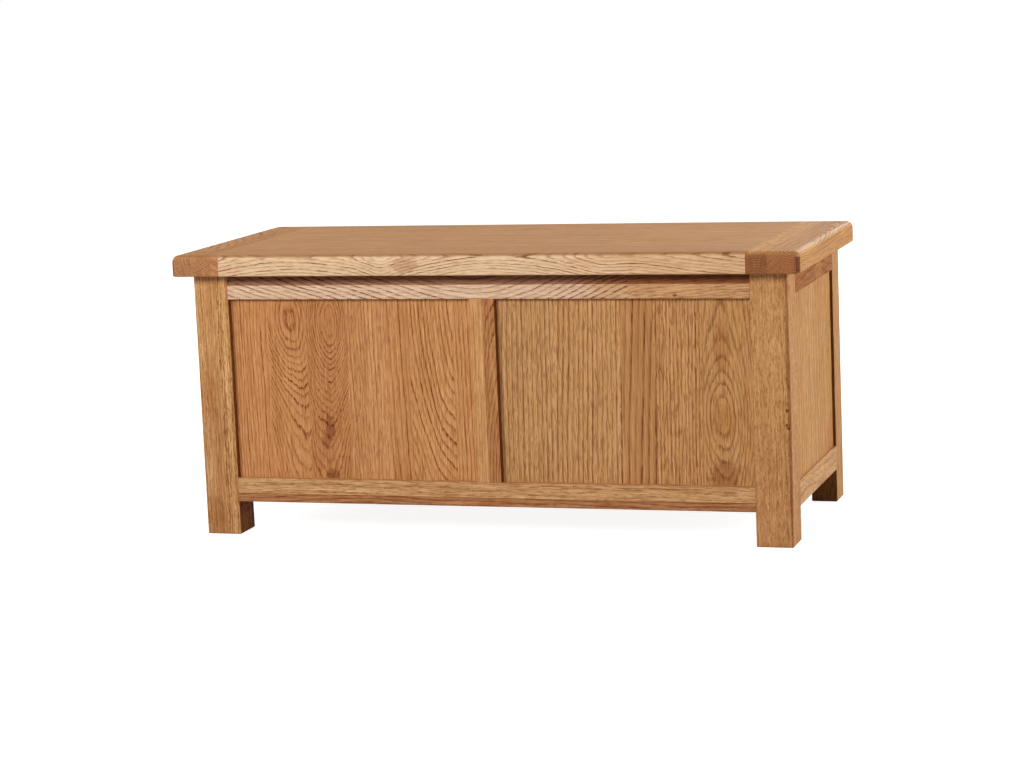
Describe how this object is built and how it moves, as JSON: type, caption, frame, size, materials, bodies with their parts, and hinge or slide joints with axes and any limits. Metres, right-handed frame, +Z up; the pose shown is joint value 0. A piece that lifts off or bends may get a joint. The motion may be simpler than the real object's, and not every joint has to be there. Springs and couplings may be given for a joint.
{
  "type": "blanket chest",
  "caption": "Framed and panelled storage chest on post legs, with a thick overhanging lid hinged at the back, a finger bevel along the front and gas struts that hold the lid open",
  "frame": {"origin": "on the floor, under the middle of the closed lid", "axes": "+X to the right as seen from the front, +Y to the back, +Z up"},
  "size_m": [1.052, 0.463, 0.4724],
  "materials": {
    "oak_frame": "waxed",
    "oak_panel": "waxed",
    "oak_inside": "bare",
    "oak_lid": "waxed",
    "hinge_steel": "satin",
    "bracket_steel": "satin",
    "strut_black": "satin",
    "strut_chrome": "polished",
    "screw_steel": "zinc plated"
  },
  "bodies": {
    "case": {"post_front_left": "oak_frame", "post_front_right": "oak_frame", "post_back_left": "oak_frame", "post_back_right": "oak_frame", "front_top_rail": "oak_frame", "front_bottom_rail": "oak_frame", "front_muntin": "oak_frame", "back_top_rail": "oak_frame", "back_bottom_rail": "oak_frame", "back_muntin": "oak_frame", "side_top_rail_left": "oak_frame", "side_top_rail_right": "oak_frame", "side_bottom_rail_left": "oak_frame", "side_bottom_rail_right": "oak_frame", "front_panel_left": "oak_panel", "front_panel_right": "oak_panel", "back_panel_left": "oak_panel", "back_panel_right": "oak_panel", "side_panel_left": "oak_panel", "side_panel_right": "oak_panel", "ledger_front": "oak_inside", "ledger_back": "oak_inside", "ledger_left": "oak_inside", "ledger_right": "oak_inside", "floor_board_1": "oak_inside", "floor_board_2": "oak_inside", "floor_board_3": "oak_inside", "floor_board_4": "oak_inside", "hinge_case_leaf_left": "hinge_steel", "hinge_case_leaf_right": "hinge_steel", "hinge_pin_left": "hinge_steel", "hinge_pin_right": "hinge_steel", "strut_case_bracket_left": "bracket_steel", "strut_case_bracket_right": "bracket_steel", "case_hardware_screws": "screw_steel", "ledger_screws": "screw_steel"},
    "lid": {"lid_board_1": "oak_lid", "lid_board_2": "oak_lid", "lid_board_3": "oak_lid", "lid_board_4": "oak_lid", "lid_board_5": "oak_lid", "lid_cap_left_outer": "oak_lid", "lid_cap_left_middle": "oak_lid", "lid_cap_left_inner": "oak_lid", "lid_cap_right_inner": "oak_lid", "lid_cap_right_outer": "oak_lid", "hinge_lid_leaf_left": "hinge_steel", "hinge_lid_leaf_right": "hinge_steel", "strut_lid_bracket_left": "bracket_steel", "strut_lid_bracket_right": "bracket_steel", "lid_hardware_screws": "screw_steel"},
    "strut_cylinder_body_left": {"strut_case_eye_left": "strut_black", "strut_cylinder_left": "strut_black"},
    "strut_rod_body_left": {"strut_rod_left": "strut_chrome", "strut_rod_eye_left": "strut_black"},
    "strut_cylinder_body_right": {"strut_case_eye_right": "strut_black", "strut_cylinder_right": "strut_black"},
    "strut_rod_body_right": {"strut_rod_right": "strut_chrome", "strut_rod_eye_right": "strut_black"}
  },
  "joints": [
    {"name": "lid_hinge", "type": "hinge", "parent": "case", "child": "lid", "pos_m": [0, 0.2272, 0.4372], "axis": [-1, 0, 0], "range_deg": [0, 80]},
    {"name": "strut_base_pivot_left", "type": "hinge", "parent": "case", "child": "strut_cylinder_body_left", "pos_m": [-0.442, 0.18904, 0.24087], "axis": [-1, 0, 0], "range_deg": [0, 40]},
    {"name": "strut_lid_pivot_left", "type": "hinge", "parent": "lid", "child": "strut_rod_body_left", "pos_m": [-0.442, 0.02769, 0.42325], "axis": [1, 0, 0], "range_deg": [0, 40]},
    {"name": "strut_base_pivot_right", "type": "hinge", "parent": "case", "child": "strut_cylinder_body_right", "pos_m": [0.442, 0.18904, 0.24087], "axis": [-1, 0, 0], "range_deg": [0, 40]},
    {"name": "strut_lid_pivot_right", "type": "hinge", "parent": "lid", "child": "strut_rod_body_right", "pos_m": [0.442, 0.02769, 0.42325], "axis": [1, 0, 0], "range_deg": [0, 40]}
  ],
  "couplings": [
    {"joint": "strut_base_pivot_left", "follows": "lid_hinge", "ratio": 0.5},
    {"joint": "strut_lid_pivot_left", "follows": "lid_hinge", "ratio": 0.5},
    {"joint": "strut_base_pivot_right", "follows": "lid_hinge", "ratio": 0.5},
    {"joint": "strut_lid_pivot_right", "follows": "lid_hinge", "ratio": 0.5}
  ]
}
